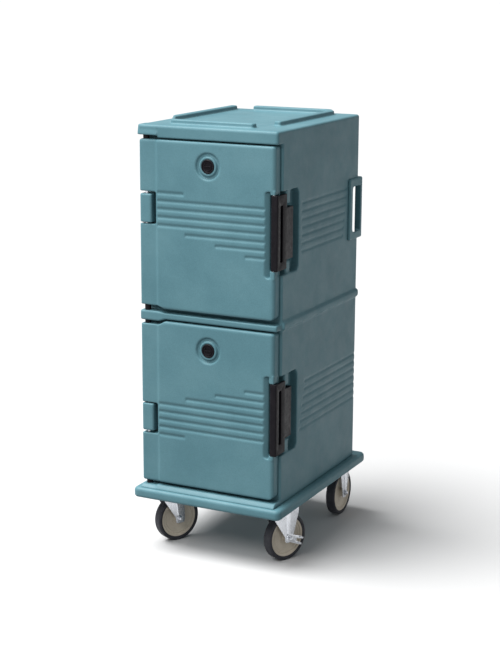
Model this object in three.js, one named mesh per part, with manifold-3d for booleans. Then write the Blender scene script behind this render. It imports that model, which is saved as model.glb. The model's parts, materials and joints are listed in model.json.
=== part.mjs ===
// Insulated two-compartment food pan cart: a double-walled, foam-filled cabinet with two side-hinged doors,
// on a bumper base with two swivel and two rigid casters. Millimetres, +Z up, doors face -Y,
// origin on the floor below the middle of the bumper.
import * as THREE from 'three';
import { mergeVertices } from 'three/addons/utils/BufferGeometryUtils.js';
import Module from 'manifold-3d';

const wasm = await Module();
wasm.setup();

// ---------------------------------------------------------------- driving dimensions
const WIDTH = 521;
const DEPTH = 689;
const HEIGHT = 1380;
const GAP = 0.3; // between touching pieces
const SKIN = 5; // wall of a moulded double-walled part
const FILL_RADIUS = 30; // hole the foam is poured through

const BASE = { bottom: 173, deckUnder: 190.5, top: 206.7, rim: 14.5, corner: 28, round: 6 };

const BODY = {
  halfWidth: 236.3, front: -286, rear: 293, bottom: 207, top: 1366, cornerRear: 8, cornerFront: 5,
};
const LEDGE_FRONT = -322; // front of the cap, the middle ledge and the bottom ledge
const LEDGE_LEFT = -237.5;
const CAP = { bottom: 1327, earBottom: 1334, earRight: -172 };
const MIDDLE = { bottom: 764, top: 783, bossBottom: 756, bossTop: 787, bossRight: -172, slopeRight: -148 };
const RELIEF = { upperTop: 806, lowerBottom: 745 }; // where the doors stop short of the middle boss
const BAND = { bottom: 762, top: 788, proud: 8.5, rear: 303 };
const BOTTOM_LEDGE = { top: 221, bossTop: 218, bossRight: -180 };

const COMPARTMENT = { halfWidth: 166, rear: 245, height: 468 };
const MIRROR = 775.5; // hinge, latch and rib layout of the lower door mirrors the upper one about this height

const HINGE = { x: -217, y: -307, rod: 6, bushing: 10, clearance: 0.4 };
const HINGE_ENDS = { upperFoot: 773, upperTop: 1352, lowerFoot: 209, lowerTop: 770 };
const KNUCKLE = { x0: -232, x1: -192, z0: 1065, z1: 1154, notchRight: -178, notchZ0: 1061, notchZ1: 1162 };

const DOOR = { halfWidth: 229, front: -325, rear: -288, round: 12, plugRear: -262, plugHalfWidth: 157 };
const GASKET = { inner: 168, outer: 176, depth: 6 };

const RIB = { pitch: 25, topLine: 1160, halfWidth: 9, depth: 4.5 };
const SIDE_RIBS = { count: 7, front: -150, rear: 204, lowerFront: -154, step: 6, z0: 965, z1: 1155 };

const LATCH = {
  pinX: 221.5, pinY: -316, pinR: 4, barrel: 8.7, z0: 950, z1: 1177, tongueZ0: 977, tongueZ1: 1135,
};
const LATCH_SLOT = { y0: -305, y1: -287, z0: 974, z1: 1146 };
const LATCH_PLATE = {
  inner: 230, outer: 238, shoulderRear: -259, tongueRear: -213, lipFront: -227, lipInner: 216,
};
const LATCH_RECESS = { left: 193, floor: 208, rear: -295, z0: 927, z1: 1188 };
const POCKET = { floor: 208, front: -290, rear: -171, z0: 932, z1: 1186 };
const KEEPER = { x: 226, y0: -250, y1: -229 };

const VENT = { x: 4, ring: 41, rim: 28, cap: 21.6, hole: 11, tube: 10.7, bore: 9.4, shank: 8.6 };
const VENT_HEIGHT = { upper: 1250, lower: 681 };

const GRIP = {
  outer: 244, rear: 311, front: 207, z0: 961, z1: 1162, bar: 222, slotFront: 229, slotRear: 293,
};
const GRIP_SLOT = { z0: 985, z1: 1136 };
const HAND_POCKET = { inner: 191, front: 226, z0: 971, z1: 1151 };

const WHEEL = { radius: 76.2, halfTread: 16, rim: 64.3, core: 63.9, boss: 18, trail: 45 };
const WHEEL_SIDES = 24;
const PLATE = { halfX: 48, halfY: 57, thickness: 4, boltX: 37, boltY: 45, boltR: 4.5 };
const PLATE_TOP = BASE.deckUnder - GAP;
const LEG = { inner: 20, outer: 23.5, eye: 17 };
const AXLE_Z = WHEEL.radius;
const AXLE = 5; // radius of the axle bolt
const BORE = 5.4; // radius of the holes it runs through
const CASTER = { x: 197, frontY: -248, rearY: 263 };
const SWIVEL_TURN = { left: -27.7, right: -23.1 }; // degrees the front casters are turned at rest
// Back and front edges of the fork legs at their shoulders, measured from the kingpin.
const SWIVEL_FORK = { back: -22, frontLeft: 59, frontRight: 84, shoulder: 156 };
const RIGID_FORK = { reach: 38, shoulder: 160 };
const BRAKE = { hub: 15, reach: 54, thickness: 3, drop: 22 }; // drop is how far below level the pedal points

const STACKING_RIB_BEVEL = 4;

// ---------------------------------------------------------------- solids
const radians = THREE.MathUtils.degToRad;

function solid(geometry) {
  geometry.deleteAttribute('normal');
  geometry.deleteAttribute('uv');
  const merged = mergeVertices(geometry, 1e-4);
  return new wasm.Manifold(new wasm.Mesh({
    numProp: 3,
    vertProperties: new Float32Array(merged.attributes.position.array),
    triVerts: new Uint32Array(merged.index.array),
  }));
}

function surface(manifold) {
  const mesh = manifold.getMesh();
  const geometry = new THREE.BufferGeometry();
  geometry.setAttribute('position', new THREE.BufferAttribute(mesh.vertProperties, 3));
  geometry.setIndex(new THREE.BufferAttribute(mesh.triVerts, 1));
  geometry.computeVertexNormals();
  return geometry;
}

const join = (...pieces) => pieces.reduce((whole, piece) => whole.add(piece));
const cut = (whole, ...tools) => tools.reduce((rest, tool) => rest.subtract(tool), whole);

function block(x0, x1, y0, y1, z0, z1) {
  const box = new THREE.BoxGeometry(x1 - x0, y1 - y0, z1 - z0);
  box.translate((x0 + x1) / 2, (y0 + y1) / 2, (z0 + z1) / 2);
  return solid(box);
}

function outline(points) {
  return new THREE.Shape(points.map(([u, v]) => new THREE.Vector2(u, v)));
}

// Rectangle in plan with one radius for each corner: front left, front right, rear right, rear left.
function roundedRectangle(x0, x1, y0, y1, radii) {
  const [frontLeft, frontRight, rearRight, rearLeft] = radii;
  const shape = new THREE.Shape();
  shape.absarc(x0 + frontLeft, y0 + frontLeft, frontLeft, Math.PI, 1.5 * Math.PI);
  shape.absarc(x1 - frontRight, y0 + frontRight, frontRight, 1.5 * Math.PI, 2 * Math.PI);
  shape.absarc(x1 - rearRight, y1 - rearRight, rearRight, 0, 0.5 * Math.PI);
  shape.absarc(x0 + rearLeft, y1 - rearLeft, rearLeft, 0.5 * Math.PI, Math.PI);
  shape.closePath();
  return shape;
}

function slab(shape, z0, z1, curveSegments = 5) {
  const geometry = new THREE.ExtrudeGeometry(shape, { depth: z1 - z0, bevelEnabled: false, curveSegments });
  geometry.translate(0, 0, z0);
  return solid(geometry);
}

// Slab with its upper and lower edges rounded inwards.
function softSlab(shape, z0, z1, round, bevelSegments, curveSegments = 5) {
  const geometry = new THREE.ExtrudeGeometry(shape, {
    depth: z1 - z0 - 2 * round,
    bevelThickness: round,
    bevelSize: round,
    bevelOffset: -round,
    bevelSegments,
    curveSegments,
  });
  geometry.translate(0, 0, z0 + round);
  return solid(geometry);
}

// An outline in (y, z), extruded from x0 to x1.
function barAlongX(shape, x0, x1, curveSegments = 5) {
  const geometry = new THREE.ExtrudeGeometry(shape, { depth: x1 - x0, bevelEnabled: false, curveSegments });
  geometry.applyMatrix4(new THREE.Matrix4().set(0, 0, 1, x0, 1, 0, 0, 0, 0, 1, 0, 0, 0, 0, 0, 1));
  return solid(geometry);
}

// An outline in (x, z), extruded from y0 to y1.
function barAlongY(shape, y0, y1) {
  const geometry = new THREE.ExtrudeGeometry(shape, { depth: y1 - y0, bevelEnabled: false });
  geometry.applyMatrix4(new THREE.Matrix4().set(1, 0, 0, 0, 0, 0, -1, y1, 0, 1, 0, 0, 0, 0, 0, 1));
  return solid(geometry);
}

function roundBar(axis, radius, centre, from, to, segments = 12) {
  const geometry = new THREE.CylinderGeometry(radius, radius, to - from, segments);
  geometry.translate(0, (from + to) / 2, 0);
  const [u, v] = centre;
  if (axis === 'z') {
    geometry.rotateX(Math.PI / 2);
    geometry.translate(u, v, 0);
  } else if (axis === 'y') {
    geometry.translate(u, 0, v);
  } else {
    geometry.rotateZ(-Math.PI / 2);
    geometry.translate(0, u, v);
  }
  return solid(geometry);
}

// A closed (radius, distance along the axis) profile turned about the X axis.
function turned(profile, segments) {
  const points = [...profile, profile[0]].map(([r, x]) => new THREE.Vector2(r, -x));
  const geometry = new THREE.LatheGeometry(points, segments);
  geometry.rotateZ(Math.PI / 2);
  return solid(geometry);
}

// ---------------------------------------------------------------- materials
function finish(color, roughness, metalness = 0) {
  return new THREE.MeshStandardMaterial({ color, roughness, metalness });
}

const polyethylene = finish(0x587980, 0.55);
const foam = finish(0xd8c48a, 0.9);
const nylon = finish(0x262328, 0.45);
const rubber = finish(0x2a2a30, 0.8);
const silicone = finish(0x8d8f90, 0.7);
const core = finish(0x8a8073, 0.6);
const zinc = finish(0xc4c6cc, 0.35, 0.9);

const cart = new THREE.Group();

function place(name, manifold, material, parent = cart) {
  const mesh = new THREE.Mesh(surface(manifold), material);
  mesh.name = name;
  parent.add(mesh);
}

// ---------------------------------------------------------------- the two doors' heights
const compartments = {
  upper: { z0: 832, z1: 832 + COMPARTMENT.height, door: [797, 1322], level: (z) => z },
  lower: { z0: 262, z1: 262 + COMPARTMENT.height, door: [230, 758], level: (z) => 2 * MIRROR - z },
};

// A height range of the upper half, carried to the same place on either half.
function span(half, z0, z1) {
  const ends = [half.level(z0), half.level(z1)];
  return [Math.min(...ends), Math.max(...ends)];
}

const ribLine = (half, line) => half.level(RIB.topLine - line * RIB.pitch);

// ---------------------------------------------------------------- cabinet
function sideGroove(side, z, y0, y1) {
  const face = BODY.halfWidth;
  return barAlongY(outline([
    [side * (face + 1), z - RIB.halfWidth],
    [side * (face - RIB.depth), z],
    [side * (face + 1), z + RIB.halfWidth],
  ]), y0, y1);
}

function sideGrooves() {
  const tools = [];
  for (const side of [-1, 1]) {
    for (let line = 1; line <= SIDE_RIBS.count; line += 1) {
      const stagger = SIDE_RIBS.step * (line - 1);
      tools.push(sideGroove(side, ribLine(compartments.upper, line), SIDE_RIBS.front,
        SIDE_RIBS.rear - stagger));
      tools.push(sideGroove(side, ribLine(compartments.lower, line), SIDE_RIBS.lowerFront + stagger,
        BODY.rear + 1));
    }
  }
  return tools;
}

// Space for the foam between the outer and the inner wall; inset leaves clearance round the foam.
function foamSpace(inset) {
  const reach = BODY.halfWidth - SKIN - inset;
  const space = block(-reach, reach, BODY.front + SKIN + inset, BODY.rear - SKIN - inset,
    BODY.bottom + SKIN + inset, BODY.top - SKIN - inset);
  const grow = SKIN + inset;
  const tools = [];
  for (const half of Object.values(compartments)) {
    const inner = COMPARTMENT.halfWidth + grow;
    tools.push(block(-inner, inner, BODY.front - 1, COMPARTMENT.rear + grow, half.z0 - grow, half.z1 + grow));
    const [pocketZ0, pocketZ1] = span(half, POCKET.z0, POCKET.z1);
    tools.push(block(POCKET.floor - grow, BODY.halfWidth + 1, BODY.front - 1, POCKET.rear + grow,
      pocketZ0 - grow, pocketZ1 + grow));
    const [ribZ0, ribZ1] = span(half, SIDE_RIBS.z0, SIDE_RIBS.z1);
    for (const side of [-1, 1]) {
      const inward = side * (BODY.halfWidth - RIB.depth - grow);
      const outward = side * (BODY.halfWidth + 1);
      tools.push(block(Math.min(inward, outward), Math.max(inward, outward), BODY.front, BODY.rear,
        ribZ0, ribZ1));
    }
  }
  for (const side of [-1, 1]) {
    const inward = side * (HAND_POCKET.inner - grow);
    const outward = side * (BODY.halfWidth + 1);
    tools.push(block(Math.min(inward, outward), Math.max(inward, outward), HAND_POCKET.front - grow,
      BODY.rear + 1, HAND_POCKET.z0 - grow, HAND_POCKET.z1 + grow));
  }
  return cut(space, ...tools);
}

function stackingRibs() {
  const foot = BODY.top - 20;
  const frontLeft = outline([
    [-150, -272], [126, -272], [130, -246], [-150, -246], [-186, -176], [-186, 244],
    [-212, 250], [-212, -148],
  ]);
  const rearRight = outline([
    [172, -174], [172, 230], [144, 274], [-135, 274], [-131, 248], [128, 248], [148, 218], [148, -168],
  ]);
  return [frontLeft, rearRight].map((shape) => softSlab(shape, foot, HEIGHT, STACKING_RIB_BEVEL, 1));
}

function cabinetOuter() {
  const { halfWidth, front, rear, bottom, top, cornerRear, cornerFront } = BODY;
  const body = slab(roundedRectangle(-halfWidth, halfWidth, front, rear,
    [cornerFront, cornerFront, cornerRear, cornerRear]), bottom, top, 3);
  const behind = front + 8;
  const capFront = join(
    block(LEDGE_LEFT, halfWidth, LEDGE_FRONT, behind, CAP.earBottom, top),
    block(CAP.earRight, halfWidth, LEDGE_FRONT, behind, CAP.bottom, top),
  );
  const ledge = barAlongY(outline([
    [LEDGE_LEFT, MIDDLE.bossBottom], [MIDDLE.bossRight, MIDDLE.bossBottom], [MIDDLE.slopeRight, MIDDLE.bottom],
    [halfWidth, MIDDLE.bottom], [halfWidth, MIDDLE.top], [MIDDLE.slopeRight, MIDDLE.top],
    [MIDDLE.bossRight, MIDDLE.bossTop], [LEDGE_LEFT, MIDDLE.bossTop],
  ]), LEDGE_FRONT, behind);
  const bandReach = halfWidth + BAND.proud;
  const band = slab(roundedRectangle(-bandReach, bandReach, front, BAND.rear, [4, 4, 20, 20]),
    BAND.bottom, BAND.top, 3);
  const bottomLedge = join(
    block(BOTTOM_LEDGE.bossRight, halfWidth, LEDGE_FRONT, behind, bottom, BOTTOM_LEDGE.top),
    block(LEDGE_LEFT, BOTTOM_LEDGE.bossRight, LEDGE_FRONT, behind, bottom, BOTTOM_LEDGE.bossTop),
  );
  const knuckles = Object.values(compartments).map((half) => {
    const [z0, z1] = span(half, KNUCKLE.z0, KNUCKLE.z1);
    return slab(roundedRectangle(KNUCKLE.x0, KNUCKLE.x1, DOOR.front, behind, [10, 4, 1, 1]), z0, z1, 2);
  });
  return join(body, capFront, ledge, band, bottomLedge, ...knuckles, ...stackingRibs());
}

function panRails(half) {
  const count = 6;
  const pitch = 70;
  const rails = [];
  for (let index = 0; index < count; index += 1) {
    const z = half.z0 + 48 + index * pitch;
    for (const side of [-1, 1]) {
      const wall = side * (COMPARTMENT.halfWidth + 1);
      const edge = side * (COMPARTMENT.halfWidth - 13);
      rails.push(block(Math.min(wall, edge), Math.max(wall, edge), -250, COMPARTMENT.rear - 6, z, z + 9));
    }
  }
  return rails;
}

function hingeBores() {
  const radius = HINGE.rod + HINGE.clearance;
  const centre = [HINGE.x, HINGE.y];
  const runout = 12;
  return [
    [CAP.earBottom - runout, HINGE_ENDS.upperTop],
    [HINGE_ENDS.upperFoot, MIDDLE.bossTop + runout],
    [MIDDLE.bossBottom - runout, HINGE_ENDS.lowerTop + GAP],
    [HINGE_ENDS.lowerFoot, BOTTOM_LEDGE.bossTop + runout],
  ].map(
    ([from, to]) => roundBar('z', radius, centre, from, to),
  ).concat(Object.values(compartments).map((half) => {
    const [z0, z1] = span(half, KNUCKLE.notchZ0, KNUCKLE.notchZ1);
    return roundBar('z', radius, centre, z0, z1);
  }));
}

function cabinetShell() {
  let shell = cabinetOuter();
  const halves = Object.values(compartments);
  shell = cut(shell, ...sideGrooves());
  for (const half of halves) {
    shell = cut(shell, block(-COMPARTMENT.halfWidth, COMPARTMENT.halfWidth, BODY.front - 60, COMPARTMENT.rear,
      half.z0, half.z1));
    const [z0, z1] = span(half, POCKET.z0, POCKET.z1);
    shell = cut(shell, block(POCKET.floor, BODY.halfWidth + 20, POCKET.front, POCKET.rear, z0, z1));
    shell = join(shell, block(POCKET.floor - 2, KEEPER.x, KEEPER.y0, KEEPER.y1, z0 - 1, z1 + 1));
    shell = join(shell, ...panRails(half));
  }
  for (const side of [-1, 1]) {
    const inward = side * HAND_POCKET.inner;
    const outward = side * (BODY.halfWidth + 20);
    shell = cut(shell, block(Math.min(inward, outward), Math.max(inward, outward), HAND_POCKET.front,
      BODY.rear + 20, HAND_POCKET.z0, HAND_POCKET.z1));
  }
  const fillHole = roundBar('z', FILL_RADIUS, [0, 0], BODY.bottom - 1, BODY.bottom + SKIN + 1, 20);
  return cut(shell, ...hingeBores(), foamSpace(0), fillHole);
}

place('cabinet_shell', cabinetShell(), polyethylene);
place('cabinet_foam_core', foamSpace(GAP), foam);
place('foam_fill_plug', roundBar('z', FILL_RADIUS - GAP, [0, 0], BODY.bottom + GAP, BODY.bottom + SKIN - GAP, 20),
  nylon);

// ---------------------------------------------------------------- side grips
function sideGrip(side) {
  const { outer, rear, front, z0, z1, bar, slotFront, slotRear } = GRIP;
  const wrap = cut(slab(roundedRectangle(bar, outer, front, rear, [1, 5, 8, 5]), z0, z1, 3),
    block(bar - 1, BODY.halfWidth + GAP, front - 1, BODY.rear + GAP, z0 - 1, z1 + 1));
  const handBar = slab(roundedRectangle(bar, outer, slotRear, rear, [5, 3, 8, 5]),
    GRIP_SLOT.z0 - 4, GRIP_SLOT.z1 + 4, 3);
  const slot = block(bar - 1, outer + 1, slotFront, slotRear, GRIP_SLOT.z0, GRIP_SLOT.z1);
  const grip = cut(join(wrap, handBar), slot);
  return side > 0 ? grip : grip.mirror([1, 0, 0]);
}

place('left_handle', sideGrip(-1), polyethylene);
place('right_handle', sideGrip(1), polyethylene);

// ---------------------------------------------------------------- hinge rods and bushings
function hingeRod(z0, z1) {
  return roundBar('z', HINGE.rod, [HINGE.x, HINGE.y], z0, z1);
}

function hingeBushing(z0, z1) {
  const centre = [HINGE.x, HINGE.y];
  return cut(roundBar('z', HINGE.bushing, centre, z0, z1),
    roundBar('z', HINGE.rod + HINGE.clearance, centre, z0 - 1, z1 + 1));
}

place('upper_hinge_rod', hingeRod(HINGE_ENDS.upperFoot + GAP, HINGE_ENDS.upperTop - GAP), zinc);
place('lower_hinge_rod', hingeRod(HINGE_ENDS.lowerFoot + GAP, HINGE_ENDS.lowerTop), zinc);

const bushings = {
  upper_door_top_bushing: [compartments.upper.door[1], CAP.earBottom],
  upper_door_bottom_bushing: [MIDDLE.bossTop, RELIEF.upperTop],
  lower_door_top_bushing: [RELIEF.lowerBottom, MIDDLE.bossBottom],
  lower_door_bottom_bushing: [BOTTOM_LEDGE.bossTop, compartments.lower.door[0]],
};
for (const [name, [z0, z1]] of Object.entries(bushings)) {
  place(name, hingeBushing(z0 + GAP, z1 - GAP), nylon);
}

// ---------------------------------------------------------------- bumper base
function bumperBase() {
  const plan = roundedRectangle(-WIDTH / 2, WIDTH / 2, -DEPTH / 2, DEPTH / 2, Array(4).fill(BASE.corner));
  const inside = roundedRectangle(-WIDTH / 2 + BASE.rim, WIDTH / 2 - BASE.rim, -DEPTH / 2 + BASE.rim,
    DEPTH / 2 - BASE.rim, Array(4).fill(BASE.corner - BASE.rim));
  return cut(softSlab(plan, BASE.bottom, BASE.top, BASE.round, 2, 3),
    slab(inside, BASE.bottom - 1, BASE.deckUnder, 3));
}

place('base_bumper', bumperBase(), polyethylene);

// ---------------------------------------------------------------- doors
function doorGroove(z, x0) {
  const { front } = DOOR;
  return barAlongX(outline([
    [front - 1, z - RIB.halfWidth],
    [front - 1, z + RIB.halfWidth],
    [front + RIB.depth, z],
  ]), x0, LATCH_RECESS.left + 4);
}

// The ribs step back one after another towards the latch.
function doorGrooves(half) {
  const starts = [-172, -172, -172, -172, -172, -76, 28, 130];
  return starts.map((x0, line) => doorGroove(ribLine(half, line), x0));
}

function doorLeaf(half) {
  const [z0, z1] = half.door;
  const plan = roundedRectangle(-DOOR.halfWidth, DOOR.halfWidth, DOOR.front, DOOR.rear, [12, DOOR.round, 3, 12]);
  const plug = block(-DOOR.plugHalfWidth, DOOR.plugHalfWidth, DOOR.rear - 2, DOOR.plugRear,
    half.z0 + 8, half.z1 - 8);
  return join(slab(plan, z0, z1, 4), plug);
}

// The leaf is shortened round the middle boss, at its bottom on the upper door and its top on the lower one.
function bossRelief(isUpper) {
  const { bossRight, slopeRight } = MIDDLE;
  const points = isUpper
    ? [[-240, 790], [slopeRight, 790],
      [slopeRight, 797], [bossRight, RELIEF.upperTop], [-240, RELIEF.upperTop]]
    : [[-240, RELIEF.lowerBottom], [bossRight, RELIEF.lowerBottom],
      [slopeRight, 758], [slopeRight, 770], [-240, 770]];
  return barAlongY(outline(points), DOOR.front - 1, DOOR.rear + 1);
}

function doorFoamSpace(half, inset) {
  const [z0, z1] = half.door;
  const edge = 8 + inset;
  const grow = SKIN + inset;
  const [recessZ0, recessZ1] = span(half, LATCH_RECESS.z0, LATCH_RECESS.z1);
  const leaf = block(-166 + inset, DOOR.halfWidth - 26 - inset, DOOR.front + 10 + inset, -299 - inset,
    z0 + edge, z1 - edge);
  const plug = block(-DOOR.plugHalfWidth + grow, DOOR.plugHalfWidth - grow, -304, DOOR.plugRear - grow,
    half.z0 + 8 + grow, half.z1 - 8 - grow);
  const recess = block(LATCH_RECESS.left - grow, DOOR.halfWidth, DOOR.front, DOOR.rear,
    recessZ0 - grow, recessZ1 + grow);
  const relief = block(-170, MIDDLE.slopeRight + grow, DOOR.front, DOOR.rear,
    RELIEF.lowerBottom - 2 * SKIN, RELIEF.upperTop + 2 * SKIN + 2);
  return cut(join(leaf, plug), recess, relief);
}

function doorShell(half, name) {
  const vent = [VENT.x, VENT_HEIGHT[name]];
  const { front } = DOOR;
  const [notchZ0, notchZ1] = span(half, KNUCKLE.notchZ0, KNUCKLE.notchZ1);
  const [recessZ0, recessZ1] = span(half, LATCH_RECESS.z0, LATCH_RECESS.z1);
  const recess = slab(outline([
    [LATCH_RECESS.left - 1, front - 1], [240, front - 1], [240, LATCH_RECESS.rear],
    [LATCH_RECESS.floor, LATCH_RECESS.rear], [LATCH_RECESS.floor, front + 13],
  ]), recessZ0, recessZ1);
  const ventRing = cut(roundBar('y', VENT.ring, vent, front - 1, front + 4, 20),
    roundBar('y', VENT.rim, vent, front - 2, front + 5, 20));
  const gasketSeat = gasketRing(half, GASKET.inner - GAP, GASKET.outer + GAP, DOOR.rear - GASKET.depth,
    DOOR.rear + 1);
  return cut(doorLeaf(half),
    bossRelief(name === 'upper'),
    block(-240, KNUCKLE.notchRight, front - 1, DOOR.rear + 1, notchZ0, notchZ1),
    roundBar('z', HINGE.rod + HINGE.clearance, [HINGE.x, HINGE.y], half.door[0] - 1, half.door[1] + 1),
    recess,
    roundBar('z', LATCH.pinR + GAP, [LATCH.pinX, LATCH.pinY], recessZ0 - 13, recessZ1 + 13),
    ...doorGrooves(half),
    ventRing,
    roundBar('y', VENT.cap + 0.6, vent, front - 1, front + 5, 20),
    roundBar('y', VENT.hole, vent, front - 1, DOOR.plugRear + 1, 12),
    gasketSeat,
    doorFoamSpace(half, 0));
}

function gasketRing(half, inner, outer, y0, y1) {
  const rise = inner - COMPARTMENT.halfWidth;
  const reach = outer - COMPARTMENT.halfWidth;
  return cut(block(-outer, outer, y0, y1, half.z0 - reach, half.z1 + reach),
    block(-inner, inner, y0 - 1, y1 + 1, half.z0 - rise, half.z1 + rise));
}

function doorFoam(half, name) {
  const vent = [VENT.x, VENT_HEIGHT[name]];
  return cut(doorFoamSpace(half, GAP), roundBar('y', VENT.hole + 1, vent, DOOR.front, 0, 12));
}

function ventTube(name) {
  const vent = [VENT.x, VENT_HEIGHT[name]];
  const front = DOOR.front + 5 + GAP;
  const rear = DOOR.plugRear + 4;
  return cut(roundBar('y', VENT.tube, vent, front, rear, 12),
    roundBar('y', VENT.bore, vent, front - 1, rear + 1, 12));
}

function ventCap(name) {
  const vent = [VENT.x, VENT_HEIGHT[name]];
  const face = DOOR.front - 1.5;
  const cap = join(roundBar('y', VENT.cap, vent, face, DOOR.front + 5 - GAP, 20),
    roundBar('y', VENT.shank, vent, DOOR.front + 3, DOOR.front + 28, 12));
  const slot = block(VENT.x - 12, VENT.x + 12, face - 1, face + 2, vent[1] - 2, vent[1] + 2);
  return cut(cap, slot);
}

// ---------------------------------------------------------------- latches
function latch(half) {
  const { pinX, pinY, barrel } = LATCH;
  const { inner, outer, shoulderRear, tongueRear, lipFront, lipInner } = LATCH_PLATE;
  const frontFace = pinY - barrel;
  const [z0, z1] = span(half, LATCH.z0, LATCH.z1);
  const [tongueZ0, tongueZ1] = span(half, LATCH.tongueZ0, LATCH.tongueZ1);
  const [slotZ0, slotZ1] = span(half, LATCH_SLOT.z0, LATCH_SLOT.z1);
  const head = slab(outline([
    [pinX, frontFace], [outer - 6, frontFace], [outer - 1.8, frontFace + 1.8], [outer, frontFace + 6],
    [outer, shoulderRear], [inner, shoulderRear], [inner, pinY + barrel], [pinX, pinY + barrel],
  ]), z0, z1);
  const tongue = slab(outline([
    [inner, shoulderRear - 4], [outer, shoulderRear - 4], [outer, tongueRear - 4], [outer - 4, tongueRear],
    [lipInner, tongueRear], [lipInner, lipFront], [inner, lipFront],
  ]), tongueZ0, tongueZ1);
  return cut(join(roundBar('z', barrel, [pinX, pinY], z0, z1), head, tongue),
    roundBar('z', LATCH.pinR + GAP, [pinX, pinY], z0 - 1, z1 + 1),
    block(inner - 3, outer + 1, LATCH_SLOT.y0, LATCH_SLOT.y1, slotZ0, slotZ1));
}

function latchPin(half) {
  const [z0, z1] = span(half, LATCH_RECESS.z0 - 12, LATCH_RECESS.z1 + 12);
  return roundBar('z', LATCH.pinR, [LATCH.pinX, LATCH.pinY], z0, z1);
}

for (const [name, half] of Object.entries(compartments)) {
  place(`${name}_door_shell`, doorShell(half, name), polyethylene);
  place(`${name}_door_foam_core`, doorFoam(half, name), foam);
  place(`${name}_door_gasket`, gasketRing(half, GASKET.inner, GASKET.outer, DOOR.rear - GASKET.depth + GAP,
    BODY.front - GAP), silicone);
  place(`${name}_vent_tube`, ventTube(name), nylon);
  place(`${name}_vent_cap`, ventCap(name), nylon);
  place(`${name}_latch_pin`, latchPin(half), zinc);
  place(`${name}_latch`, latch(half), nylon);
}

// ---------------------------------------------------------------- casters
// Each caster is built with its axle along X and its wheel's centre at (0, wheelY, axle height).
function tyre() {
  const { radius, halfTread, rim } = WHEEL;
  return turned([
    [rim, -14], [rim, 14], [71, halfTread], [radius, 11], [radius, -11], [71, -halfTread],
  ], WHEEL_SIDES);
}

function wheelCore() {
  const { boss } = WHEEL;
  return turned([
    [BORE, -boss], [BORE, boss], [16, boss], [18, 6], [56, 9], [WHEEL.core, 12],
    [WHEEL.core, -12], [56, -9], [18, -6], [16, -boss],
  ], WHEEL_SIDES);
}

function axleBolt(nutStart) {
  return join(
    roundBar('x', AXLE, [0, 0], -LEG.outer - 3, nutStart + 2),
    roundBar('x', 8.5, [0, 0], -LEG.outer - GAP - 6, -LEG.outer - GAP, 6),
    roundBar('x', 8.5, [0, 0], nutStart, nutStart + 6, 6),
  );
}

// Both fork legs. Seen from the side a leg is wide under the crown and narrows to a round end at the axle.
function forkLegs(topZ, back, front, shoulderZ, wheelY) {
  const shape = new THREE.Shape();
  shape.moveTo(back, topZ);
  shape.lineTo(back, shoulderZ);
  shape.absarc(wheelY, AXLE_Z, LEG.eye, radians(200), radians(340));
  shape.lineTo(front, shoulderZ);
  shape.lineTo(front, topZ);
  shape.closePath();
  return join(barAlongX(shape, -LEG.outer, -LEG.inner, 4), barAlongX(shape, LEG.inner, LEG.outer, 4));
}

function topPlate() {
  const { halfX, halfY, thickness, boltX, boltY, boltR } = PLATE;
  const holes = [];
  for (const x of [-boltX, boltX]) {
    for (const y of [-boltY, boltY]) {
      holes.push(roundBar('z', boltR, [x, y], PLATE_TOP - 20, PLATE_TOP + 1, 8));
    }
  }
  const plan = roundedRectangle(-halfX, halfX, -halfY, halfY, Array(4).fill(8));
  return cut(slab(plan, PLATE_TOP - thickness, PLATE_TOP, 3), ...holes);
}

const BEARING = { top: PLATE_TOP - PLATE.thickness - GAP, bottom: 172 + GAP, radius: 33 };
const CROWN = { top: 172, thickness: 3.5, radius: 36 };
const KINGPIN = { radius: 6, hole: 6.5, head: 10, headBottom: 162 };

function swivelPlate() {
  return cut(topPlate(), roundBar('z', KINGPIN.hole, [0, 0], PLATE_TOP - 10, PLATE_TOP + 1));
}

function bearingRing() {
  return cut(roundBar('z', BEARING.radius, [0, 0], BEARING.bottom, BEARING.top, 20),
    roundBar('z', KINGPIN.hole, [0, 0], BEARING.bottom - 1, BEARING.top + 1));
}

function kingpin() {
  return join(
    roundBar('z', KINGPIN.radius, [0, 0], KINGPIN.headBottom, PLATE_TOP - GAP),
    roundBar('z', KINGPIN.head, [0, 0], KINGPIN.headBottom, CROWN.top - CROWN.thickness - GAP),
  );
}

function swivelFork(front) {
  const crownBottom = CROWN.top - CROWN.thickness;
  const crown = join(
    roundBar('z', CROWN.radius, [0, 0], crownBottom, CROWN.top, 20),
    block(-LEG.outer, LEG.outer, SWIVEL_FORK.back, front, crownBottom, CROWN.top),
  );
  return cut(join(crown, forkLegs(CROWN.top, SWIVEL_FORK.back, front, SWIVEL_FORK.shoulder, WHEEL.trail)),
    roundBar('z', KINGPIN.hole, [0, 0], 150, 180),
    roundBar('x', BORE, [WHEEL.trail, AXLE_Z], -30, 30));
}

function rigidFork() {
  const { reach, shoulder } = RIGID_FORK;
  return cut(join(topPlate(), forkLegs(PLATE_TOP - 1, -reach, reach, shoulder, 0)),
    roundBar('x', BORE, [0, AXLE_Z], -30, 30));
}

// Two-pronged pedal that turns on the outer end of the axle, drawn level.
function brakeLever() {
  const { hub, reach, thickness } = BRAKE;
  const shape = new THREE.Shape();
  shape.absarc(0, 0, hub, radians(60), radians(300));
  shape.lineTo(reach - 4, -11);
  shape.lineTo(reach, -4);
  shape.lineTo(reach - 26, -2);
  shape.lineTo(reach - 26, 4);
  shape.lineTo(reach, 6);
  shape.lineTo(reach - 4, 13);
  shape.closePath();
  const inner = LEG.outer + GAP;
  return cut(barAlongX(shape, inner, inner + thickness),
    roundBar('x', BORE, [0, 0], LEG.inner, inner + 2 * thickness));
}

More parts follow.
